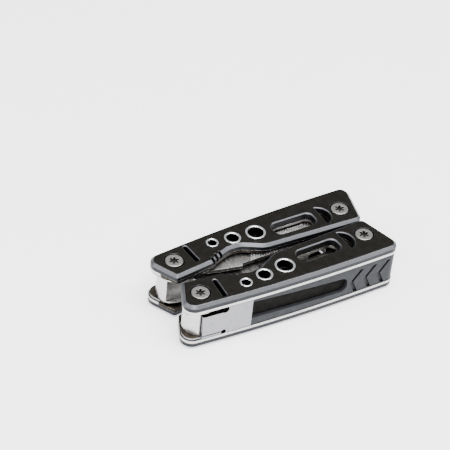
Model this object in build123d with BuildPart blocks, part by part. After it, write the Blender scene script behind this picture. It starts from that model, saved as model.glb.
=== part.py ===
from build123d import *

import os
from math import cos, radians, sin

# A folding multi tool, closed and lying on its side. Two long handles lie side by side. Each is a
# sandwich of scale, liner, open inner space, liner and scale. A needle-nose plier head with a lap
# joint is folded in between the handles, and four tools are folded into each handle.
# Millimetres. +X points to the tool end, +Z up, and the front handle is on the -Y side.

os.makedirs("parts", exist_ok=True)

# ---------------------------------------------------------------- driving dimensions
PIN_PITCH = 85.0  # plier pivot to tool pivot, along a handle
PIVOT_SPACING = 22.6  # between the two plier pivots
TOE_IN = 0.98  # degrees that each handle leans in towards its tool end
PIVOT_X = -43.13  # plier pivots, so that the origin is under the middle of the closed tool
SCALE = 3.15  # thickness of a handle scale
LINER = 1.3  # thickness of a steel liner
INNER = 15.2  # free height between the liners
EDGE_CHAMFER = 1.25  # along the outer edges of a scale

HEIGHT = 2 * (SCALE + LINER) + INNER
MIDDLE = HEIGHT / 2
FLOOR_Z = SCALE + LINER  # top of the bottom liner
ROOF_Z = FLOOR_Z + INNER  # underside of the top liner
TOP_SCALE_Z = HEIGHT - SCALE
RUN = 0.05  # running clearance between a pin and its bore, and between stacked pieces

# pins and screws
BARREL_R = 2.5
SHANK_R = 1.6
HEAD_R = 4.0
HEAD_SINK = 1.0
HEAD_PROUD = 0.2
COUNTERBORE_R = 4.65
BARREL_FLOOR = 4.0
SCREW_LENGTH = 12.0
SOCKET_R = 1.4
LOBE_AT = 1.7
LOBE_R = 0.62
SOCKET_DEPTH = 1.0

# spring channel
SHEET = 1.2
CHANNEL_END = 20.7
CHANNEL_SETBACK = 0.5
TONGUE_START = -2.6
TONGUE_ROOT = 7.6
RELIEF = 1.5  # gap above the tongue, with a round end at its root
RELIEF_R = 1.8
LOWER_RELIEF = 0.6
LOWER_RELIEF_R = 1.2
FOLD_R = 0.45
PLATE_T = 4.0  # inner edge of the two plates
FOLD_T = -7.6  # the folded edges lie beyond this

# grip insert
GRIP_WALL = 1.8
GRIP_SETBACK = 0.25
GRIP_WRAP_T = -4.6
SIDE_START = 5.0  # depth across a handle where cuts into its outer side begin
SIDE_REACH = 12.0
# the window's outline on the handle's outer side, as position along it and height, with corner radii
GRIP_WINDOW = (((10.0, 18.9), 0.0), ((69.2, 14.8), 3.7), ((69.0, 7.1), 3.3), ((10.0, 8.9), 0.0))
CHEVRON_STARTS = (70.4, 77.6, 84.8)
CHEVRON_BAND = 1.9
CHEVRON_Z = 10.95
CHEVRON_RISE = 6.2
CHEVRON_LEANS = (5.0, 2.8)  # how far the upper and the lower arm lean to the tool end
CHEVRON_DEPTH = 0.95

STRIP = 1.0
STRIP_SPAN = (21.2, 76.0)

# plier head
JOINT_X = 28.0
LAP_R = 8.0
HEAD_HALF = 2.5  # half the thickness of jaws and arms
TANG_R = 7.1
TANG_FLATS = (-6.3, 4.4)  # across the handle, from the pivot
WASHER = 0.5
RIVET_R = 2.4
RIVET_HEAD_R = 4.0
RIVET_HEAD = 0.75
TEETH_START = 43.5
JAW_TIP_X = 62.0
# half thickness of the jaws at stations along the head, from the joint to the tip
JAW_TAPER = ((37.0, 2.5), (39.5, 1.7), (62.0, 1.2))
TOOTH_PITCH = 1.25
TOOTH_DEPTH = 0.35

# tools
TOOL_TANG_R = 5.4
SPACER_R = 5.0

# The front handle's own frame: s runs from the plier pivot to the tool end, t points inwards to the
# other handle, and every offset is a height over the surface that the tool lies on.
HANDLE = Plane(
    origin=(PIVOT_X, -PIVOT_SPACING / 2, 0),
    x_dir=(cos(radians(TOE_IN)), sin(radians(TOE_IN)), 0),
    z_dir=(0, 0, 1),
)
# Looking at the front handle's outer side: s to the right, height up, offset outwards.
OUTER_SIDE = Plane(origin=HANDLE.origin, x_dir=HANDLE.x_dir, z_dir=-HANDLE.y_dir)
# The plier head's frame, on the line half way between the handles.
HEAD = Plane(origin=(PIVOT_X, 0, 0), x_dir=(1, 0, 0), z_dir=(0, 0, 1))
HEAD_SIDE = Plane(origin=HEAD.origin, x_dir=(1, 0, 0), z_dir=(0, -1, 0))

PINS = ((0, 0), (PIN_PITCH, 0))

# corner points of a handle's outline with the radius of each corner
OUTLINE = (
    ((-3.7, 9.8), 1.7),
    ((-12.3, -6.9), 5.0),
    ((44.3, -12.75), 860.0),
    ((96.8, -13.25), 4.2),
    ((90.9, 9.8), 3.4),
    ((41.7, 8.1), 9.0),
    ((31.7, 2.7), 7.0),
    ((25.7, 2.6), 9.0),
    ((18.8, 5.3), 0.0),
    ((15.1, 7.4), 0.0),
)

# eyelets: position along and across the handle, bore radius, flange radius
EYELETS = (
    (20.8, -3.4, 1.95, 2.85),
    (30.6, -2.6, 2.75, 3.8),
    (41.8, -1.65, 3.55, 4.6),
)
EYELET_WALL = 0.45
EYELET_PROUD = 0.35

WINDOW_AT = (60.6, 0.2)
WINDOW_SIZE = (21.2, 7.9)
WINDOW_R = 3.0
WINDOW_CHAMFER = 0.45
SLOT_AT = (8.9, -1.1)
SLOT_SIZE = (11.2, 2.0)
FINE_CHAMFER = 0.3
# thumb grooves across the scale's inner edge
GROOVES = ((16.3, 6.7), (18.7, 5.4), (21.1, 4.4))
GROOVE_SIZE = (4.4, 1.5)


def rounded(corners):
    """A face whose outline runs through the given corners, each with its own radius."""
    with BuildSketch() as face:
        with BuildLine():
            FilletPolyline(*[p for p, r in corners], radius=[r for p, r in corners], close=True)
        make_face()
    return face.sketch


def inset(face, amount):
    with BuildSketch() as smaller:
        add(face)
        offset(amount=-amount)
    return smaller.sketch


def crescent(grow=0.0):
    """A D-shaped opening beside the tool pivot: straight on one side, bulging on the other."""
    low, high, bulge = (74.7 - grow, -5.3 - grow), (74.7 - grow, 6.4 + grow), (79.2 + grow, 0.6)
    with BuildSketch() as opening:
        with BuildLine():
            Line(low, high)
            ThreePointArc(high, bulge, low)
        make_face()
    return opening.sketch


outline = rounded(OUTLINE)


def pin_holes(radius):
    with Locations(*PINS):
        Circle(radius)


def edges_at(part, height):
    return part.edges(Select.LAST).filter_by_position(Axis.Z, height, height)


# ---------------------------------------------------------------- handle scales and liners
def make_scale():
    with BuildPart() as scale:
        with BuildSketch(HANDLE.offset(TOP_SCALE_Z)):
            add(outline)
        extrude(amount=SCALE)
        chamfer(scale.faces().sort_by(Axis.Z)[-1].edges(), EDGE_CHAMFER)
        with BuildSketch(HANDLE.offset(TOP_SCALE_Z)):
            with Locations(*GROOVES):
                SlotOverall(*GROOVE_SIZE, rotation=62)
            pin_holes(BARREL_R)
            for s, t, bore, flange in EYELETS:
                with Locations((s, t)):
                    Circle(bore + EYELET_WALL)
        extrude(amount=SCALE, mode=Mode.SUBTRACT)
        with BuildSketch(HANDLE.offset(HEIGHT - HEAD_SINK)):
            pin_holes(COUNTERBORE_R)
        extrude(amount=HEAD_SINK, mode=Mode.SUBTRACT)
        with BuildSketch(HANDLE.offset(TOP_SCALE_Z)):
            with Locations(WINDOW_AT):
                RectangleRounded(*WINDOW_SIZE, WINDOW_R)
        extrude(amount=SCALE, mode=Mode.SUBTRACT)
        chamfer(edges_at(scale, HEIGHT), WINDOW_CHAMFER)
        with BuildSketch(HANDLE.offset(TOP_SCALE_Z)):
            with Locations(SLOT_AT):
                SlotOverall(*SLOT_SIZE, rotation=85)
            add(crescent())
        extrude(amount=SCALE, mode=Mode.SUBTRACT)
        chamfer(edges_at(scale, HEIGHT), FINE_CHAMFER)
    return scale.part


def make_liner():
    with BuildPart() as liner:
        with BuildSketch(HANDLE.offset(ROOF_Z)):
            add(outline)
            with Locations(WINDOW_AT):
                RectangleRounded(WINDOW_SIZE[0] - 0.7, WINDOW_SIZE[1] - 0.7, WINDOW_R, mode=Mode.SUBTRACT)
            with Locations(*PINS):
                Circle(BARREL_R, mode=Mode.SUBTRACT)
            for s, t, bore, flange in EYELETS:
                with Locations((s, t)):
                    Circle(bore + EYELET_WALL, mode=Mode.SUBTRACT)
        extrude(amount=LINER)
        with BuildSketch(HANDLE.offset(ROOF_Z)):
            add(crescent(-0.35))
        extrude(amount=LINER, mode=Mode.SUBTRACT)
    return liner.part


def make_eyelets():
    """Three rolled steel eyelets, from the liner's inner face to a flange on the scale."""
    with BuildPart() as eyelets:
        for s, t, bore, flange in EYELETS:
            with BuildSketch(HANDLE.offset(ROOF_Z)):
                with Locations((s, t)):
                    Circle(bore + EYELET_WALL)
            extrude(amount=HEIGHT - ROOF_Z)
            with BuildSketch(HANDLE.offset(HEIGHT)):
                with Locations((s, t)):
                    Circle(flange)
            extrude(amount=EYELET_PROUD)
            fillet(edges_at(eyelets, HEIGHT + EYELET_PROUD), 0.3)
        for s, t, bore, flange in EYELETS:
            with BuildSketch(HANDLE.offset(ROOF_Z)):
                with Locations((s, t)):
                    Circle(bore)
            extrude(amount=HEIGHT - ROOF_Z + EYELET_PROUD, mode=Mode.SUBTRACT)
            fillet(edges_at(eyelets, HEIGHT + EYELET_PROUD), 0.45)
    return eyelets.part


def upside_down(piece):
    """The same piece on the handle's bottom half."""
    with BuildPart() as bottom:
        mirror(piece, about=Plane.XY.offset(MIDDLE))
    return bottom.part


def make_flush_scale(top_scale):
    """A bottom scale, with its eyelet seats sunk so that nothing stands proud of it."""
    with BuildPart() as scale:
        mirror(top_scale, about=Plane.XY.offset(MIDDLE))
        with BuildSketch(HANDLE):
            for s, t, bore, flange in EYELETS:
                with Locations((s, t)):
                    Circle(flange)
        extrude(amount=EYELET_PROUD, mode=Mode.SUBTRACT)
    return scale.part


def make_flush_eyelets():
    with BuildPart() as eyelets:
        for s, t, bore, flange in EYELETS:
            with BuildSketch(HANDLE):
                with Locations((s, t)):
                    Circle(flange)
            extrude(amount=EYELET_PROUD)
            with BuildSketch(HANDLE.offset(EYELET_PROUD)):
                with Locations((s, t)):
                    Circle(bore + EYELET_WALL)
            extrude(amount=FLOOR_Z - EYELET_PROUD)
        with BuildSketch(HANDLE):
            for s, t, bore, flange in EYELETS:
                with Locations((s, t)):
                    Circle(bore)
        extrude(amount=FLOOR_Z, mode=Mode.SUBTRACT)
    return eyelets.part


# ---------------------------------------------------------------- spring channel and grip insert
def make_spring_channel():
    """Folded sheet at the pivot end: two plates against the liners, joined by a web outside."""
    with BuildPart() as channel:
        # flush with the handle along its side, set back round its end and along its inner edge
        with BuildSketch(HANDLE.offset(FLOOR_Z)):
            add(outline)
            with Locations((TONGUE_START, 0)):
                Rectangle(40.0, 60.0, align=(Align.MAX, Align.CENTER), mode=Mode.SUBTRACT)
            add(inset(outline, CHANNEL_SETBACK))
            with Locations((CHANNEL_END, 0)):
                Rectangle(90.0, 60.0, align=(Align.MIN, Align.CENTER), mode=Mode.SUBTRACT)
            with Locations((0, PLATE_T)):
                Rectangle(60.0, 20.0, align=(Align.CENTER, Align.MIN), mode=Mode.SUBTRACT)
        extrude(amount=INNER)
        folds = edges_at(channel, FLOOR_Z) + edges_at(channel, ROOF_Z)
        fillet([e for e in folds if HANDLE.to_local_coords(e.center()).Y < FOLD_T], FOLD_R)
        # hollow it to a U, and end the web short of the pivot end as a free tongue
        with BuildSketch(HANDLE.offset(FLOOR_Z + SHEET)):
            add(inset(outline, SHEET))
            Circle(TANG_R + 2 * RUN)
            with Locations((0, -SIDE_START)):
                Rectangle(60.0, 40.0, align=(Align.CENTER, Align.MIN))
            with Locations((TONGUE_START, -30.0)):
                Rectangle(40.0, 60.0, align=(Align.MAX, Align.MIN))
        extrude(amount=INNER - 2 * SHEET, mode=Mode.SUBTRACT)
        # the tongue's free edges: the upper gap runs through the fold, the lower one stays above it
        with BuildSketch(OUTER_SIDE.offset(SIDE_START)):
            with Locations((TONGUE_ROOT, ROOF_Z)):
                Rectangle(20.0, SHEET + RELIEF, align=(Align.MAX, Align.MAX))
            with Locations((TONGUE_ROOT, ROOF_Z - SHEET)):
                Circle(RELIEF_R)
            with Locations((TONGUE_ROOT, FLOOR_Z + SHEET)):
                Rectangle(20.0, LOWER_RELIEF, align=(Align.MAX, Align.MIN))
                Circle(LOWER_RELIEF_R)
        extrude(amount=SIDE_REACH, mode=Mode.SUBTRACT)
        with BuildSketch(HANDLE.offset(FLOOR_Z)):
            Circle(BARREL_R)
        extrude(amount=INNER, mode=Mode.SUBTRACT)
    return channel.part


def chevron(s):
    """A V-shaped band that points to the pivot end, on the handle's outer side."""
    upper, lower = s + CHEVRON_LEANS[0], s + CHEVRON_LEANS[1]
    with BuildSketch() as band:
        with BuildLine():
            Polyline(
                (s, CHEVRON_Z),
                (upper, CHEVRON_Z + CHEVRON_RISE),
                (upper + CHEVRON_BAND, CHEVRON_Z + CHEVRON_RISE),
                (s + CHEVRON_BAND, CHEVRON_Z),
                (lower + CHEVRON_BAND, CHEVRON_Z - CHEVRON_RISE),
                (lower, CHEVRON_Z - CHEVRON_RISE),
                close=True,
            )
        make_face()
    return band.sketch


def make_grip_grooves():
    """The chevron grooves as solids, of even depth below the insert's outer surface."""
    with BuildPart() as grooves:
        with BuildSketch(HANDLE.offset(FLOOR_Z)):
            add(outline)
            add(inset(outline, GRIP_SETBACK + CHEVRON_DEPTH), mode=Mode.SUBTRACT)
        extrude(amount=INNER)
        with BuildSketch(OUTER_SIDE.offset(SIDE_START)):
            for s in CHEVRON_STARTS:
                add(chevron(s))
        extrude(amount=SIDE_REACH, mode=Mode.INTERSECT)
    return grooves.part


def make_grip_insert():
    """Plastic strip that closes the handle's back, with a long window and chevron grooves."""
    with BuildPart() as grip:
        with BuildSketch(HANDLE.offset(FLOOR_Z)):
            add(inset(outline, GRIP_SETBACK))
            add(inset(outline, GRIP_SETBACK + GRIP_WALL), mode=Mode.SUBTRACT)
            with Locations((CHANNEL_END + 0.2, GRIP_WRAP_T)):
                Rectangle(90.0, 20.0, align=(Align.MIN, Align.MAX), mode=Mode.INTERSECT)
        extrude(amount=INNER)
        with BuildSketch(OUTER_SIDE.offset(SIDE_START)):
            add(rounded(GRIP_WINDOW))
        extrude(amount=SIDE_REACH, mode=Mode.SUBTRACT)
        add(make_grip_grooves(), mode=Mode.SUBTRACT)
    return grip.part


def make_back_strip():
    """Thin strip behind the grip insert, which closes its window from inside."""
    start, stop = STRIP_SPAN
    with BuildPart() as strip:
        with BuildSketch(HANDLE.offset(FLOOR_Z)):
            add(inset(outline, GRIP_SETBACK + GRIP_WALL))
            add(inset(outline, GRIP_SETBACK + GRIP_WALL + STRIP), mode=Mode.SUBTRACT)
            with Locations((start, GRIP_WRAP_T)):
                Rectangle(stop - start, 20.0, align=(Align.MIN, Align.MAX), mode=Mode.INTERSECT)
        extrude(amount=INNER)
    return strip.part


# ---------------------------------------------------------------- pins, screws and washers
def make_barrel(pin):
    """Hollow pin with a flat head, flush with the bottom scale."""
    with BuildPart() as barrel:
        with BuildSketch(HANDLE):
            with Locations(pin):
                Circle(HEAD_R)
        extrude(amount=HEAD_SINK)
        with BuildSketch(HANDLE):
            with Locations(pin):
                Circle(BARREL_R)
        extrude(amount=HEIGHT - HEAD_SINK)
        with BuildSketch(HANDLE.offset(BARREL_FLOOR)):
            with Locations(pin):
                Circle(SHANK_R)
        extrude(amount=HEIGHT, mode=Mode.SUBTRACT)
    return barrel.part


def make_screw(pin):
    """Button-head screw with a six-lobed socket, threaded into the barrel."""
    with BuildPart() as screw:
        with BuildSketch(HANDLE.offset(HEIGHT - HEAD_SINK)):
            with Locations(pin):
                Circle(HEAD_R)
        extrude(amount=HEAD_SINK + HEAD_PROUD)
        fillet(edges_at(screw, HEIGHT + HEAD_PROUD), 0.4)
        with BuildSketch(HANDLE.offset(HEIGHT - HEAD_SINK)):
            with Locations(pin):
                Circle(SHANK_R)
        extrude(amount=-SCREW_LENGTH)
        with BuildSketch(HANDLE.offset(HEIGHT + HEAD_PROUD - SOCKET_DEPTH)):
            with Locations(pin):
                Circle(SOCKET_R)
                with PolarLocations(LOBE_AT, 6):
                    Circle(LOBE_R)
        extrude(amount=SOCKET_DEPTH, mode=Mode.SUBTRACT)
    return screw.part


def make_rings(pin, spans, outer):
    """Washers on a pin, one for each span of heights."""
    with BuildPart() as rings:
        for low, high in spans:
            with BuildSketch(HANDLE.offset(low)):
                with Locations(pin):
                    Circle(outer)
                    Circle(BARREL_R, mode=Mode.SUBTRACT)
            extrude(amount=high - low)
    return rings.part


# ---------------------------------------------------------------- plier head
def teeth_x():
    count = int((JAW_TIP_X - 2.0 - TEETH_START) / TOOTH_PITCH)
    return [TEETH_START + i * TOOTH_PITCH for i in range(count)]


half = PIVOT_SPACING / 2
PLIER_ARM = (
    ((-3.2, -half + 4.4), 2.0),
    ((-3.2, -half - 5.0), 3.0),
    ((6.0, -half - 5.4), 6.0),
    ((24.0, -7.9), 3.0),
    ((33.0, -3.0), 1.0),
    ((30.0, 0.0), 1.0),
    ((21.5, -0.3), 2.0),
    ((13.0, -0.5), 3.0),
    ((7.0, -half + 4.4), 3.0),
)
# the notch between the joint and the teeth is the wire cutter
PLIER_JAW = (
    ((27.0, RUN), 0.3),
    ((36.4, RUN), 0.3),
    ((38.0, 2.2), 1.2),
    ((41.2, 2.2), 1.2),
    ((42.6, RUN), 0.3),
    ((JAW_TIP_X, RUN), 0.3),
    ((JAW_TIP_X, 2.6), 1.6),
    ((38.5, 4.9), 6.0),
    ((34.0, 7.2), 4.0),
    ((28.0, 7.4), 1.0),
)


def make_plier_half():
    """The half whose tang sits in the front handle: lower lap disc, and jaw on the rear side."""
    low, high = MIDDLE - HEAD_HALF, MIDDLE + HEAD_HALF
    tang_low = FLOOR_Z + SHEET + WASHER + RUN
    tang_high = ROOF_Z - SHEET - WASHER - RUN
    with BuildPart() as plier:
        with BuildSketch(HEAD.offset(low)):
            add(rounded(PLIER_ARM))
            add(rounded(PLIER_JAW))
        extrude(amount=high - low)
        # room for the other half's lap disc, then this half's own disc under it
        with BuildSketch(HEAD.offset(low - 1.0)):
            with Locations((JOINT_X, 0)):
                Circle(LAP_R + 2 * RUN)
        extrude(amount=high - low + 2.0, mode=Mode.SUBTRACT)
        with BuildSketch(HEAD.offset(low)):
            with Locations((JOINT_X, 0)):
                Circle(LAP_R)
        extrude(amount=HEAD_HALF - RUN)
        # neck pieces that tie the disc to its arm and its jaw
        with BuildSketch(HEAD.offset(low)):
            with Locations((JOINT_X - 7.9, -3.6)):
                Rectangle(3.0, 5.0, rotation=24)
            with Locations((JOINT_X + 7.4, 3.5)):
                Rectangle(3.0, 4.6, rotation=24)
        extrude(amount=HEAD_HALF - RUN)
        # tang around the handle's plier pivot, full height, flat towards the spring and inwards
        with BuildSketch(HEAD.offset(tang_low)):
            with Locations((0, -half)):
                Circle(TANG_R)
            with Locations((0, -half + TANG_FLATS[0])):
                flats = TANG_FLATS[1] - TANG_FLATS[0]
                Rectangle(4 * TANG_R, flats, align=(Align.CENTER, Align.MIN), mode=Mode.INTERSECT)
        extrude(amount=tang_high - tang_low)
        with BuildSketch(HEAD.offset(tang_low)):
            with Locations((0, -half)):
                Circle(BARREL_R + RUN)
            with Locations((JOINT_X, 0)):
                Circle(RIVET_R + RUN)
        extrude(amount=tang_high - tang_low, mode=Mode.SUBTRACT)
        # seat for the rivet's head
        with BuildSketch(HEAD.offset(low)):
            with Locations((JOINT_X, 0)):
                Circle(RIVET_HEAD_R + 2 * RUN)
        extrude(amount=RIVET_HEAD + RUN, mode=Mode.SUBTRACT)
        # jaws thinned towards the tip
        with BuildSketch(HEAD_SIDE):
            for side in (-1, 1):
                with BuildLine():
                    Polyline(
                        *[(x, MIDDLE + side * thickness) for x, thickness in JAW_TAPER],
                        (JAW_TIP_X, MIDDLE + side * JAW_TAPER[0][1]),
                        close=True,
                    )
                make_face()
        extrude(amount=PIVOT_SPACING / 2, both=True, mode=Mode.SUBTRACT)
        # gripping teeth
        with BuildSketch(HEAD.offset(low)):
            for x in teeth_x():
                with BuildLine():
                    root = (x + TOOTH_PITCH / 2, RUN + TOOTH_DEPTH)
                    Polyline((x, 0), root, (x + TOOTH_PITCH, 0), close=True)
                make_face()
        extrude(amount=high - low, mode=Mode.SUBTRACT)
    return plier.part


def make_jaw_rivet():
    with BuildPart() as rivet:
        with BuildSketch(HEAD.offset(MIDDLE - HEAD_HALF)):
            with Locations((JOINT_X, 0)):
                Circle(RIVET_R)
        extrude(amount=2 * HEAD_HALF)
        for height in (MIDDLE - HEAD_HALF, MIDDLE + HEAD_HALF - RIVET_HEAD):
            with BuildSketch(HEAD.offset(height)):
                with Locations((JOINT_X, 0)):
                    Circle(RIVET_HEAD_R)
            extrude(amount=RIVET_HEAD)
    return rivet.part


# ---------------------------------------------------------------- folding tools
def ground_edge(level, start, stop, grind_t, edge_t):
    """Two long wedges to cut away, which thin a blade from grind_t down to its edge."""
    low, thick = level
    section = Plane(
        origin=HANDLE.from_local_coords((start, 0, 0)),
        x_dir=HANDLE.y_dir,
        z_dir=HANDLE.x_dir,
    )
    with BuildPart() as wedges:
        for face_z, edge_z in ((low, low + 0.42 * thick), (low + thick, low + 0.58 * thick)):
            with BuildSketch(section):
                with BuildLine():
                    Polyline((grind_t, face_z), (edge_t, face_z), (edge_t, edge_z), close=True)
                make_face()
            extrude(amount=stop - start)
    return wedges.part


def thin_tip(level, start, stop, left):
    """Two wedges to cut away, which thin a driver's tip until only a part of its thickness is left."""
    low, thick = level
    middle = low + thick / 2
    with BuildPart() as wedges:
        for face_z, tip_z in ((low, middle - left / 2), (low + thick, middle + left / 2)):
            with BuildSketch(OUTER_SIDE):
                with BuildLine():
                    Polyline((stop, face_z), (start, face_z), (start, tip_z), close=True)
                make_face()
            extrude(amount=TOOL_TANG_R, both=True)
    return wedges.part


def make_tool(low, thick, corners, cuts=(), relief=None):
    """A flat tool: a round tang on the tool pivot and a blade with the given filleted outline."""
    with BuildPart() as tool:
        with BuildSketch(HANDLE.offset(low)):
            add(rounded(corners))
            with Locations((PIN_PITCH, 0)):
                Circle(TOOL_TANG_R)
                Circle(BARREL_R + RUN, mode=Mode.SUBTRACT)
            for cut in cuts:
                with BuildLine():
                    Polyline(*cut, close=True)
                make_face(mode=Mode.SUBTRACT)
        extrude(amount=thick)
        if relief:
            add(relief, mode=Mode.SUBTRACT)
    return tool.part


def saw_teeth(start, stop, pitch, depth, edge):
    """Triangular gullets along an edge that runs in s."""
    count = int((stop - start) / pitch)
    starts = [start + i * pitch for i in range(count)]
    out, root = edge - 0.5, edge + depth
    return [((s, out), (s + pitch * 0.3, root), (s + pitch * 0.9, out)) for s in starts]


# level of each tool: lowest face and thickness
SERRATED_LEVEL = (7.65, 1.5)
SAW_LEVEL = (5.9, 1.5)
LOWER_SHORT = (9.5, 2.3)
UPPER_SHORT = (12.1, 2.3)
KNIFE_LEVEL = (14.95, 1.5)
FILE_LEVEL = (16.7, 1.5)

FRONT_LEVELS = (SAW_LEVEL, LOWER_SHORT, UPPER_SHORT, KNIFE_LEVEL)
REAR_LEVELS = (SERRATED_LEVEL, LOWER_SHORT, UPPER_SHORT, FILE_LEVEL)

KNIFE = (
    ((83.0, 5.0), 2.0),
    ((30.0, 4.2), 20.0),
    ((14.0, -1.6), 0.6),
    ((26.0, -6.8), 14.0),
    ((74.0, -7.2), 1.5),
    ((83.0, -5.0), 2.0),
)
SAW = (
    ((83.0, 5.0), 2.0),
    ((24.0, 3.4), 3.0),
    ((22.0, -4.0), 1.5),
    ((76.0, -4.4), 1.0),
    ((83.0, -5.0), 2.0),
)
CAN_OPENER = (
    ((84.0, 5.2), 1.0),
    ((70.0, 4.6), 3.0),
    ((64.0, 1.0), 0.8),
    ((67.5, -3.6), 1.5),
    ((70.2, -0.8), 1.6),
    ((74.0, -4.4), 1.0),
    ((84.0, -5.2), 1.0),
)
BOTTLE_OPENER = (
    ((84.0, 5.2), 1.0),
    ((63.6, 3.4), 0.6),
    ((63.6, -1.6), 0.6),
    ((67.0, -4.4), 1.2),
    ((69.0, -0.4), 1.6),
    ((73.5, -0.6), 1.6),
    ((75.0, -4.6), 1.2),
    ((84.0, -5.2), 1.0),
)
FILE = (
    ((83.0, 5.0), 2.0),
    ((74.0, 7.4), 6.0),
    ((46.0, 8.1), 12.0),
    ((30.2, 8.2), 0.4),
    ((29.2, 9.8), 0.6),
    ((11.2, 5.9), 1.2),
    ((14.3, 2.4), 4.0),
    ((43.0, -0.9), 8.0),
    ((50.0, -5.2), 4.0),
    ((83.0, -5.2), 2.0),
)
SERRATED_BLADE = (
    ((83.0, 5.0), 2.0),
    ((32.0, 4.0), 20.0),
    ((18.0, -1.0), 0.6),
    ((26.0, -4.8), 10.0),
    ((76.0, -4.6), 1.0),
    ((83.0, -5.0), 2.0),
)
PHILLIPS_DRIVER = (
    ((84.0, 5.0), 1.0),
    ((74.0, 2.6), 2.0),
    ((52.0, 2.6), 1.0),
    ((47.0, 0.7), 0.3),
    ((47.0, -0.7), 0.3),
    ((52.0, -2.6), 1.0),
    ((74.0, -2.6), 2.0),
    ((84.0, -5.0), 1.0),
)
FLAT_DRIVER = (
    ((84.0, 5.0), 1.0),
    ((72.0, 2.4), 2.0),
    ((54.0, 2.4), 3.0),
    ((49.0, 3.2), 3.0),
    ((45.6, 2.5), 0.2),
    ((45.6, -2.5), 0.2),
    ((49.0, -3.2), 3.0),
    ((54.0, -2.4), 3.0),
    ((72.0, -2.4), 2.0),
    ((84.0, -5.0), 1.0),
)


def spacer_spans(levels):
    """The free heights on the tool pivot, below, between and above its tools."""
    bounds = [FLOOR_Z] + [z for low, thick in levels for z in (low - RUN, low + thick + RUN)] + [ROOF_Z]
    return list(zip(bounds[0::2], bounds[1::2]))


# ---------------------------------------------------------------- everything, front then rear
handle_parts = {}
handle_parts["top_scale"] = make_scale()
handle_parts["bottom_scale"] = make_flush_scale(handle_parts["top_scale"])
handle_parts["top_liner"] = make_liner()
handle_parts["bottom_liner"] = upside_down(handle_parts["top_liner"])
handle_parts["top_eyelets"] = make_eyelets()
handle_parts["bottom_eyelets"] = make_flush_eyelets()
handle_parts["spring_channel"] = make_spring_channel()
handle_parts["grip_insert"] = make_grip_insert()
handle_parts["back_strip"] = make_back_strip()
for pin_name, pin in zip(("pivot", "tool"), PINS):
    handle_parts[pin_name + "_barrel"] = make_barrel(pin)
    handle_parts[pin_name + "_screw"] = make_screw(pin)
channel_floor = FLOOR_Z + SHEET
channel_roof = ROOF_Z - SHEET
pivot_spans = ((channel_floor, channel_floor + WASHER), (channel_roof - WASHER, channel_roof))
handle_parts["pivot_washers"] = make_rings(PINS[0], pivot_spans, TANG_R)

front_parts = dict(handle_parts, tool_spacers=make_rings(PINS[1], spacer_spans(FRONT_LEVELS), SPACER_R))
rear_parts = dict(handle_parts, tool_spacers=make_rings(PINS[1], spacer_spans(REAR_LEVELS), SPACER_R))

front_tools = {
    "knife_blade": make_tool(*KNIFE_LEVEL, KNIFE, relief=ground_edge(KNIFE_LEVEL, 10.0, 72.0, -5.0, -7.5)),
    "wood_saw": make_tool(*SAW_LEVEL, SAW, saw_teeth(26.0, 74.0, 2.4, 1.6, -4.1)),
    "can_opener": make_tool(*LOWER_SHORT, CAN_OPENER),
    "bottle_opener": make_tool(*UPPER_SHORT, BOTTLE_OPENER),
}
rear_tools = {
    "file_blade": make_tool(*FILE_LEVEL, FILE),
    "serrated_blade": make_tool(
        *SERRATED_LEVEL,
        SERRATED_BLADE,
        saw_teeth(30.0, 72.0, 3.6, 0.9, -4.7),
        ground_edge(SERRATED_LEVEL, 14.0, 71.0, -0.4, -5.6),
    ),
    "phillips_driver": make_tool(
        *LOWER_SHORT,
        PHILLIPS_DRIVER,
        relief=thin_tip(LOWER_SHORT, 46.0, 51.0, 0.8),
    ),
    "flat_driver": make_tool(*UPPER_SHORT, FLAT_DRIVER, relief=thin_tip(UPPER_SHORT, 45.0, 52.0, 0.7)),
}

written = {"front_" + name: piece for name, piece in front_parts.items()}
written.update(front_tools)
for prefix, pieces in (("rear_", rear_parts), ("", rear_tools)):
    for name, piece in pieces.items():
        with BuildPart() as mirrored:
            mirror(piece, about=Plane.XZ)
        written[prefix + name] = mirrored.part

written["front_plier_half"] = make_plier_half()
# the other half is the same forging turned over
with BuildPart() as across:
    mirror(written["front_plier_half"], about=Plane.XZ)
written["rear_plier_half"] = upside_down(across.part)
written["jaw_rivet"] = make_jaw_rivet()

for name, piece in written.items():
    piece.label = name
    export_step(piece, "parts/" + name + ".step")

boxes = [piece.bounding_box() for piece in written.values()]
corners = [corner for box in boxes for corner in (box.min, box.max)]
for axis in ("X", "Y", "Z"):
    reach = [getattr(corner, axis) for corner in corners]
    print(axis, round(min(reach), 3), round(max(reach), 3))
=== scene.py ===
from math import cos, radians, sin

import bpy
from mathutils import Matrix, Vector


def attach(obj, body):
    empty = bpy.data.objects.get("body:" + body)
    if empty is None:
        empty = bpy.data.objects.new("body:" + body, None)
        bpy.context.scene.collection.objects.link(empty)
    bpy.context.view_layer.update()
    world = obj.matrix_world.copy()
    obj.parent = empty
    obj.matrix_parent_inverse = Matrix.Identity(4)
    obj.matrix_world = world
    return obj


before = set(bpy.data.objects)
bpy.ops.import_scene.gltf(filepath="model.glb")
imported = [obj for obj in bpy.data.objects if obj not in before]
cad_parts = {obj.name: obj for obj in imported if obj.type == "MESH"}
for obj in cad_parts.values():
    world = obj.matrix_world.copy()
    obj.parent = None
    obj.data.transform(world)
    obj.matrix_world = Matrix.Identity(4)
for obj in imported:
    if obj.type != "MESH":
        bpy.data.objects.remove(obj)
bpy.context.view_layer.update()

MM = 0.001
# height of the middle of a handle's thickness, in millimetres
HANDLE_MIDDLE = 12.05
# a wall further than this from the middle of the closed tool is not part of the inner edge
INNER_EDGE_START, INNER_EDGE_STOP = 9.0, 9.6

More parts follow.
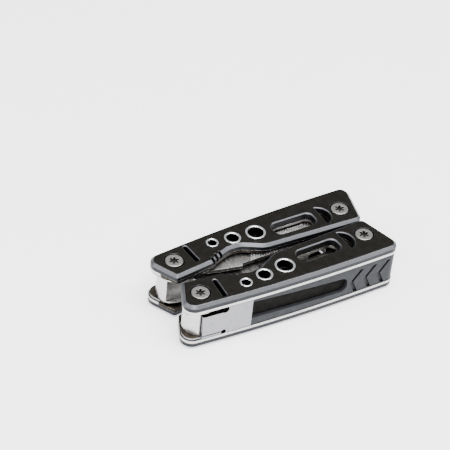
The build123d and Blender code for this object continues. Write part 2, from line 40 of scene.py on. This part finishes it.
# ---------------------------------------------------------------- camera, light and floor
VIEW_AZIMUTH = -34.5
VIEW_ELEVATION = 39.76
VIEW_ROLL = 5.81
VIEW_DISTANCE = 772.9 * MM
LENS = 139.9
# the point that the camera looks at, level with the top of the tool and behind its middle
AIM = Vector((-11.24, 22.01, 24.45)) * MM


def place_camera():
    data = bpy.data.cameras.new("camera")
    data.lens = LENS
    data.sensor_width = 36.0
    data.clip_start = 0.01
    data.clip_end = 20.0
    camera = bpy.data.objects.new("camera", data)
    bpy.context.scene.collection.objects.link(camera)
    turn = Matrix.Rotation(radians(VIEW_AZIMUTH), 4, "Z")
    tilt = Matrix.Rotation(radians(90.0 - VIEW_ELEVATION), 4, "X")
    roll = Matrix.Rotation(radians(VIEW_ROLL), 4, "Z")
    aimed = turn @ tilt
    back = (aimed @ Vector((0.0, 0.0, 1.0))).to_3d()
    camera.matrix_world = Matrix.Translation(AIM + back * VIEW_DISTANCE) @ aimed @ roll
    bpy.context.scene.camera = camera


def soft_box(name, azimuth, elevation, distance, size, power, tint=(1.0, 1.0, 1.0)):
    """A square soft light that faces the tool. Azimuth 0 stands in front of it."""
    data = bpy.data.lights.new(name, "AREA")
    data.shape = "SQUARE"
    data.size = size
    data.energy = power
    data.color = tint
    light = bpy.data.objects.new(name, data)
    bpy.context.scene.collection.objects.link(light)
    turn = Matrix.Rotation(radians(azimuth), 4, "Z")
    tilt = Matrix.Rotation(radians(90.0 - elevation), 4, "X")
    light.matrix_world = turn @ tilt @ Matrix.Translation((0.0, 0.0, distance))
    return light


def light_studio():
    world = bpy.data.worlds.new("studio")
    world.use_nodes = True
    background = world.node_tree.nodes["Background"]
    background.inputs["Color"].default_value = (0.9, 0.95, 1.0, 1.0)
    background.inputs["Strength"].default_value = 0.75
    bpy.context.scene.world = world
    soft_box("overhead", 20.0, 80.0, 1.2, 0.9, 38.0)
    soft_box("front_fill", -38.0, 42.0, 1.3, 0.8, 14.0)
    soft_box("left_fill", -105.0, 30.0, 1.2, 0.6, 6.0)
    soft_box("right_fill", 55.0, 38.0, 1.2, 0.6, 6.0)


# ---------------------------------------------------------------- material helpers
def node(tree, kind, settings=None, **inputs):
    """A new shader node. Inputs are numbers, colours or sockets to link from."""
    made = tree.nodes.new(kind)
    for name, value in (settings or {}).items():
        setattr(made, name, value)
    for name, value in inputs.items():
        socket = made.inputs[int(name[1:])] if name[0] == "i" and name[1:].isdigit() else made.inputs[name]
        if isinstance(value, bpy.types.NodeSocket):
            tree.links.new(value, socket)
        else:
            socket.default_value = value
    return made


def new_finish(name, metallic, roughness):
    material = bpy.data.materials.new(name)
    material.use_nodes = True
    tree = material.node_tree
    shader = tree.nodes["Principled BSDF"]
    shader.inputs["Metallic"].default_value = metallic
    shader.inputs["Roughness"].default_value = roughness
    return material, tree, shader


def millimetres(tree, stretch=(1.0, 1.0, 1.0)):
    """Texture coordinates in millimetres of the piece itself, stretched for a brushed look."""
    coords = node(tree, "ShaderNodeTexCoord")
    mapping = node(tree, "ShaderNodeMapping", Vector=coords.outputs["Object"])
    mapping.inputs["Scale"].default_value = [1000.0 * k for k in stretch]
    return mapping.outputs["Vector"]


def grain(tree, vector, scale, detail=4.0, rough=0.6):
    made = node(tree, "ShaderNodeTexNoise", Vector=vector, Scale=scale, Detail=detail, Roughness=rough)
    return made.outputs["Fac"]


def remap(tree, value, low, high, to_low, to_high):
    made = node(tree, "ShaderNodeMapRange", {"interpolation_type": "SMOOTHSTEP"})
    for socket, number in zip(("From Min", "From Max", "To Min", "To Max"), (low, high, to_low, to_high)):
        made.inputs[socket].default_value = number
    tree.links.new(value, made.inputs["Value"])
    return made.outputs["Result"]


def mix(tree, factor, first, second):
    made = node(tree, "ShaderNodeMix", {"data_type": "RGBA"})
    for socket, value in ((0, factor), (6, first), (7, second)):
        if isinstance(value, bpy.types.NodeSocket):
            tree.links.new(value, made.inputs[socket])
        else:
            made.inputs[socket].default_value = value if socket == 0 else (*value, 1.0)
    return made.outputs[2]


def calculate(tree, operation, first, second):
    made = node(tree, "ShaderNodeMath", {"operation": operation})
    for socket, value in enumerate((first, second)):
        if isinstance(value, bpy.types.NodeSocket):
            tree.links.new(value, made.inputs[socket])
        else:
            made.inputs[socket].default_value = value
    return made.outputs[0]


def bumpy(tree, height, distance, strength=1.0, under=None):
    made = node(tree, "ShaderNodeBump", Height=height, Strength=strength, Distance=distance * MM)
    if under is not None:
        tree.links.new(under, made.inputs["Normal"])
    return made.outputs["Normal"]


def edge_mask(tree, radius):
    """1 close to the piece's sharp edges and 0 elsewhere, and the normal that rounds those edges."""
    rounded = node(tree, "ShaderNodeBevel", {"samples": 6}, Radius=radius * MM)
    geometry = node(tree, "ShaderNodeNewGeometry")
    dot = node(tree, "ShaderNodeVectorMath", {"operation": "DOT_PRODUCT"})
    tree.links.new(rounded.outputs["Normal"], dot.inputs[0])
    tree.links.new(geometry.outputs["Normal"], dot.inputs[1])
    mask = remap(tree, dot.outputs["Value"], 0.999, 0.93, 0.0, 1.0)
    return mask, rounded.outputs["Normal"]


def up_facing(tree):
    """How far a face is turned up or down, from 0 on an upright wall to 1 on a flat face."""
    coords = node(tree, "ShaderNodeTexCoord")
    split = node(tree, "ShaderNodeSeparateXYZ", Vector=coords.outputs["Normal"])
    return calculate(tree, "ABSOLUTE", split.outputs["Z"], 0.0)


def inner_edge(tree):
    """1 along the edge of a handle that faces the other handle, and 0 elsewhere."""
    coords = node(tree, "ShaderNodeTexCoord")
    normal = node(tree, "ShaderNodeSeparateXYZ", Vector=coords.outputs["Normal"])
    place = node(tree, "ShaderNodeSeparateXYZ", Vector=coords.outputs["Object"])
    side = calculate(tree, "SIGN", place.outputs["Y"], 0.0)
    inwards = remap(tree, calculate(tree, "MULTIPLY", normal.outputs["Y"], side), -0.1, -0.4, 0.0, 1.0)
    off_centre = calculate(tree, "ABSOLUTE", place.outputs["Y"], 0.0)
    central = remap(tree, off_centre, INNER_EDGE_START * MM, INNER_EDGE_STOP * MM, 1.0, 0.0)
    return calculate(tree, "MULTIPLY", inwards, central)


def near_outside(tree, depth):
    """1 within a depth in millimetres of the handle's upper or lower face, and 0 further in."""
    coords = node(tree, "ShaderNodeTexCoord")
    place = node(tree, "ShaderNodeSeparateXYZ", Vector=coords.outputs["Object"])
    off_middle = calculate(tree, "SUBTRACT", place.outputs["Z"], HANDLE_MIDDLE * MM)
    reach = calculate(tree, "ABSOLUTE", off_middle, 0.0)
    limit = HANDLE_MIDDLE - depth
    return remap(tree, reach, (limit - 0.1) * MM, (limit + 0.1) * MM, 0.0, 1.0)


def painted_crevice_shade(tree, reach, floor):
    """1 on open faces, falling to the given floor where painted shade darkens slots and corners."""
    made = node(tree, "ShaderNodeAmbientOcclusion", {"samples": 8}, Distance=reach * MM)
    return remap(tree, made.outputs["AO"], 0.25, 0.8, floor, 1.0)


def dimmed(tree, colour, amount):
    """The colour times a grey amount."""
    return mix(tree, amount, (0.004, 0.0035, 0.003), colour)


# ---------------------------------------------------------------- finishes
# painted shade for the flat faces of steel, brownish, and darker still on the inner edge walls
FLAT_FACE_SHADE = (0.07, 0.058, 0.045)
SHADED_WALL = (0.06, 0.056, 0.05)


def scale_finish():
    """Black anodised aluminium with brighter cut chamfers and worn edges."""
    material, tree, shader = new_finish("black_anodised", 1.0, 0.4)
    along = grain(tree, millimetres(tree, (0.12, 1.0, 1.0)), 9.0)
    cloud = grain(tree, millimetres(tree), 0.35)
    speck = grain(tree, millimetres(tree), 22.0, 2.0)
    facing = up_facing(tree)
    flat = remap(tree, facing, 0.9, 0.98, 0.0, 1.0)
    leaning = remap(tree, facing, 0.3, 0.55, 0.0, 1.0)
    cut = calculate(tree, "MULTIPLY", leaning, calculate(tree, "SUBTRACT", 1.0, flat))
    clouded = remap(tree, cloud, 0.35, 0.65, 0.0, 1.0)
    face = mix(tree, clouded, (0.016, 0.0142, 0.0118), (0.023, 0.0207, 0.0175))
    face = mix(tree, remap(tree, along, 0.45, 0.75, 0.0, 0.5), face, (0.033, 0.030, 0.026))
    side = mix(tree, speck, (0.020, 0.021, 0.024), (0.033, 0.034, 0.038))
    bright = mix(tree, along, (0.09, 0.092, 0.10), (0.14, 0.143, 0.153))
    colour = mix(tree, flat, side, face)
    colour = mix(tree, cut, colour, bright)
    worn, soft_normal = edge_mask(tree, 0.3)
    patches = remap(tree, grain(tree, millimetres(tree), 1.3), 0.42, 0.62, 0.05, 0.45)
    colour = mix(tree, calculate(tree, "MULTIPLY", worn, patches), colour, (0.35, 0.35, 0.37))
    # painted shade in slots and corners, from ambient occlusion
    colour = dimmed(tree, colour, painted_crevice_shade(tree, 2.5, 0.12))
    tree.links.new(colour, shader.inputs["Base Color"])
    tree.links.new(remap(tree, along, 0.3, 0.7, 0.34, 0.5), shader.inputs["Roughness"])
    relief = bumpy(tree, speck, 0.02, 0.5, soft_normal)
    tree.links.new(bumpy(tree, along, 0.02, 0.5, relief), shader.inputs["Normal"])
    return material


def steel_finish(
    name,
    dark,
    light,
    roughness,
    stretch=(0.15, 1.0, 1.0),
    grit=0.3,
    flat_shade=None,
    wall=None,
    reach=9.0,
    rim=None,
):
    """Brushed or ground steel. Stretch lengthens the grain along an axis, and grit is its relief.

    A flat shade colour paints shade on the flat faces, darker on the inner edge walls, and a wall
    colour paints shade on the upright ones. Reach is how far a neighbour casts painted shade on
    the steel. A rim depth paints shade on everything that lies deeper below the handle's faces.
    """
    material, tree, shader = new_finish(name, 1.0, roughness)
    brushed = grain(tree, millimetres(tree, stretch), 7.0)
    cloud = grain(tree, millimetres(tree), 0.5)
    scratch = grain(tree, millimetres(tree, (1.0, 0.08, 0.6)), 5.0, 6.0, 0.7)
    colour = mix(tree, remap(tree, brushed, 0.3, 0.7, 0.0, 1.0), dark, light)
    stain = tuple(0.72 * k for k in dark)
    colour = mix(tree, remap(tree, cloud, 0.5, 0.75, 0.0, 0.5), colour, stain)
    if flat_shade:
        # painted shade on the flat faces, patchy and brownish
        patchy = mix(tree, remap(tree, cloud, 0.3, 0.7, 0.0, 1.0), flat_shade, tuple(1.6 * k for k in flat_shade))
        colour = mix(tree, remap(tree, up_facing(tree), 0.85, 0.97, 0.0, 1.0), colour, patchy)
        # painted shade, darker, on the inner edge walls that face the other handle
        colour = mix(tree, inner_edge(tree), colour, tuple(0.4 * k for k in flat_shade))
    if wall:
        colour = mix(tree, remap(tree, up_facing(tree), 0.15, 0.3, 0.0, 1.0), wall, colour)
    if rim:
        # painted shade on everything deeper than the rim depth below the handle's faces
        colour = mix(tree, near_outside(tree, rim), SHADED_WALL, colour)
    worn, soft_normal = edge_mask(tree, 0.1)
    colour = mix(tree, calculate(tree, "MULTIPLY", worn, 0.5), colour, (0.85, 0.85, 0.85))
    # painted shade in slots and corners, from ambient occlusion
    colour = dimmed(tree, colour, painted_crevice_shade(tree, reach, 0.06))
    tree.links.new(colour, shader.inputs["Base Color"])
    uneven = remap(tree, scratch, 0.35, 0.7, roughness * 0.8, roughness * 1.35)
    tree.links.new(uneven, shader.inputs["Roughness"])
    tree.links.new(bumpy(tree, brushed, 0.02, grit, soft_normal), shader.inputs["Normal"])
    return material


def cast_finish(name, dark, light, roughness):
    """Tumbled steel of a small screw, with a pitted skin."""
    material, tree, shader = new_finish(name, 1.0, roughness)
    pits = grain(tree, millimetres(tree), 4.5, 3.0, 0.7)
    fine = grain(tree, millimetres(tree), 14.0, 2.0)
    colour = mix(tree, remap(tree, pits, 0.35, 0.62, 0.0, 1.0), dark, light)
    worn, soft_normal = edge_mask(tree, 0.15)
    colour = mix(tree, calculate(tree, "MULTIPLY", worn, 0.6), colour, (0.75, 0.73, 0.70))
    # painted shade on everything deeper than 0.4 mm below the handle's faces: the socket and the head's
    # sides
    colour = mix(tree, near_outside(tree, 0.4), (0.05, 0.046, 0.042), colour)
    # painted shade in slots and corners, from ambient occlusion
    colour = dimmed(tree, colour, painted_crevice_shade(tree, 1.6, 0.05))
    tree.links.new(colour, shader.inputs["Base Color"])
    uneven = remap(tree, fine, 0.3, 0.7, roughness * 0.85, roughness * 1.3)
    tree.links.new(uneven, shader.inputs["Roughness"])
    relief = bumpy(tree, pits, 0.06, 0.6, soft_normal)
    tree.links.new(bumpy(tree, fine, 0.02, 0.4, relief), shader.inputs["Normal"])
    return material


def grip_finish(name, dark, light, edge, gloss):
    """Moulded plastic with a fine spark-eroded skin."""
    material, tree, shader = new_finish(name, 0.0, 0.5)
    shader.inputs["Specular IOR Level"].default_value = gloss
    skin = grain(tree, millimetres(tree), 6.0, 3.0)
    cloud = grain(tree, millimetres(tree), 0.3)
    colour = mix(tree, remap(tree, cloud, 0.35, 0.65, 0.0, 1.0), dark, light)
    worn, soft_normal = edge_mask(tree, 0.2)
    colour = mix(tree, calculate(tree, "MULTIPLY", worn, 0.5), colour, edge)
    # painted shade in slots and corners, from ambient occlusion
    colour = dimmed(tree, colour, painted_crevice_shade(tree, 3.0, 0.12))
    tree.links.new(colour, shader.inputs["Base Color"])
    tree.links.new(remap(tree, skin, 0.3, 0.7, 0.42, 0.6), shader.inputs["Roughness"])
    tree.links.new(bumpy(tree, skin, 0.03, 0.5, soft_normal), shader.inputs["Normal"])
    return material


def floor_finish():
    material, tree, shader = new_finish("pale_floor", 0.0, 0.75)
    cloud = grain(tree, millimetres(tree), 0.02)
    colour = mix(tree, cloud, (0.90, 0.90, 0.90), (0.93, 0.93, 0.93))
    tree.links.new(colour, shader.inputs["Base Color"])
    shader.inputs["Emission Color"].default_value = (1.0, 1.0, 1.0, 1.0)
    shader.inputs["Emission Strength"].default_value = 0.84
    return material


FLOOR_HALF = 3.0
# the floor lies just below the tool, so that the two surfaces never coincide
FLOOR_DROP = 0.05 * MM


def lay_floor():
    mesh = bpy.data.meshes.new("floor")
    corners = [(x * FLOOR_HALF, y * FLOOR_HALF, 0) for x, y in ((-1, -1), (1, -1), (1, 1), (-1, 1))]
    mesh.from_pydata(corners, [], [(0, 1, 2, 3)])
    mesh.materials.append(floor_finish())
    floor = bpy.data.objects.new("floor", mesh)
    floor.location.z = -FLOOR_DROP
    bpy.context.scene.collection.objects.link(floor)


FINISHES = {
    "handle_scale": scale_finish(),
    # the liner's flat faces and inner edge walls carry painted shade
    "liner_steel": steel_finish(
        "liner_steel", (0.40, 0.39, 0.38), (0.60, 0.59, 0.57), 0.26, flat_shade=FLAT_FACE_SHADE
    ),
    # rim=0.3 paints shade on the bore deeper than 0.3 mm below the handle's faces
    "eyelet_steel": steel_finish(
        "eyelet_steel", (0.66, 0.66, 0.66), (0.82, 0.82, 0.82), 0.2, (1, 1, 1), 0.15, rim=0.3
    ),
    # the channel's flat faces and inner edge walls carry painted shade
    "spring_steel": steel_finish(
        "spring_steel", (0.205, 0.205, 0.216), (0.275, 0.275, 0.29), 0.36, flat_shade=FLAT_FACE_SHADE
    ),
    "grip_plastic": grip_finish(
        "grip_plastic", (0.017, 0.018, 0.021), (0.024, 0.0255, 0.029), (0.09, 0.092, 0.10), 0.15
    ),
    # painted shade: near-black with almost no reflection, the strip behind the windows stands for the
    # shade inside the handle
    "strip_plastic": grip_finish(
        "strip_plastic", (0.005, 0.0048, 0.0045), (0.009, 0.0085, 0.008), (0.02, 0.02, 0.02), 0.02
    ),
    "pin_steel": steel_finish("pin_steel", (0.45, 0.45, 0.45), (0.6, 0.6, 0.6), 0.28, (1, 1, 0.2)),
    "screw_steel": cast_finish("screw_steel", (0.20, 0.188, 0.176), (0.36, 0.342, 0.322), 0.36),
    "plier_steel": steel_finish(
        "plier_steel", (0.42, 0.412, 0.405), (0.56, 0.55, 0.54), 0.3, (1, 0.2, 1), reach=4.0
    ),
    "file_steel": steel_finish(
        "file_steel", (0.50, 0.48, 0.465), (0.66, 0.635, 0.62), 0.3, wall=SHADED_WALL, reach=4.0
    ),
    "tool_steel": steel_finish(
        "tool_steel", (0.27, 0.265, 0.235), (0.38, 0.375, 0.34), 0.3, wall=SHADED_WALL, reach=5.0
    ),
}


def paint_nodes():
    """Each CAD node takes the finish of its slot in the record."""
    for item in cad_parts.values():
        for slot in item.material_slots:
            key = slot.material.name.split(".")[0]
            slot.material = FINISHES[key]


# ---------------------------------------------------------------- file teeth
# The rear handle's own frame: s runs from the plier pivot to the tool end, t inwards.
PIVOT = Vector((-43.13, 11.3, 0.0))
TOE_IN = radians(0.98)
FILE_TOP = 18.2
# back edge and front edge of the toothed band, as s and t of their corners
BAND_BACK = ((34.0, 1.0), (43.0, 0.0), (50.5, -4.6), (73.0, -4.8))
BAND_FRONT = ((34.0, 8.05), (73.0, 7.35))
TOOTH_ROWS = 12
TOOTH_PITCH = 1.3
TOOTH_ROW = 1.05
TOOTH_HIGH = 0.42
TOOTH_SLANT = 0.55
# half a tooth's width as a share of its pitch, which leaves a narrow groove between teeth
TOOTH_SHARE = 0.46
# how far all the rows are moved towards the front edge, and how deep a tooth's foot is sunk
ROWS_SHIFT = 0.1
TOOTH_SINK = 0.02
# where a tooth's point leans to, as shares of its half length and half width
POINT_FORWARD, POINT_OUTWARD = 0.3, 0.25


def on_rear_handle(s, t, height):
    """A point of the rear handle's frame, in metres of the whole tool."""
    x = s * cos(TOE_IN) - t * sin(TOE_IN)
    y = -(s * sin(TOE_IN) + t * cos(TOE_IN))
    return (PIVOT + Vector((x, y, height))) * MM


def along(line, s):
    """The t of a broken line at s."""
    for (s0, t0), (s1, t1) in zip(line, line[1:]):
        if s <= s1:
            break
    return t0 + (t1 - t0) * (s - s0) / (s1 - s0)


def cut_file_teeth():
    """Double-cut teeth: leaning pyramids in slanted rows on the file's upper face."""
    points, faces = [], []
    start, stop = BAND_FRONT[0][0], BAND_FRONT[1][0]
    for row in range(TOOTH_ROWS):
        for column in range(int((stop - start) / TOOTH_PITCH)):
            inset = (row + 0.5) * TOOTH_ROW
            s = start + (column + 0.5) * TOOTH_PITCH + inset * TOOTH_SLANT
            if s + TOOTH_PITCH > stop:
                continue
            t = along(BAND_FRONT, s) - inset + ROWS_SHIFT
            if t - TOOTH_ROW < along(BAND_BACK, s):
                continue
            a, b = TOOTH_PITCH * TOOTH_SHARE, TOOTH_ROW * TOOTH_SHARE
            lean = TOOTH_SLANT * b
            ring = (
                (s - a - lean, t + b),
                (s + a - lean, t + b),
                (s + a + lean, t - b),
                (s - a + lean, t - b),
            )
            base = len(points)
            points.extend(on_rear_handle(u, v, FILE_TOP - TOOTH_SINK) for u, v in ring)
            tip = (s + POINT_FORWARD * a, t + POINT_OUTWARD * b)
            points.append(on_rear_handle(*tip, FILE_TOP + TOOTH_HIGH))
            faces.extend((base + i, base + 4, base + (i + 1) % 4) for i in range(4))
            faces.append((base, base + 1, base + 2, base + 3))
    mesh = bpy.data.meshes.new("file_teeth")
    mesh.from_pydata(points, [], faces)
    mesh.materials.append(FINISHES["file_steel"])
    teeth = bpy.data.objects.new("file_teeth", mesh)
    bpy.context.scene.collection.objects.link(teeth)
    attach(teeth, "file_blade")


place_camera()
light_studio()
lay_floor()
paint_nodes()
cut_file_teeth()
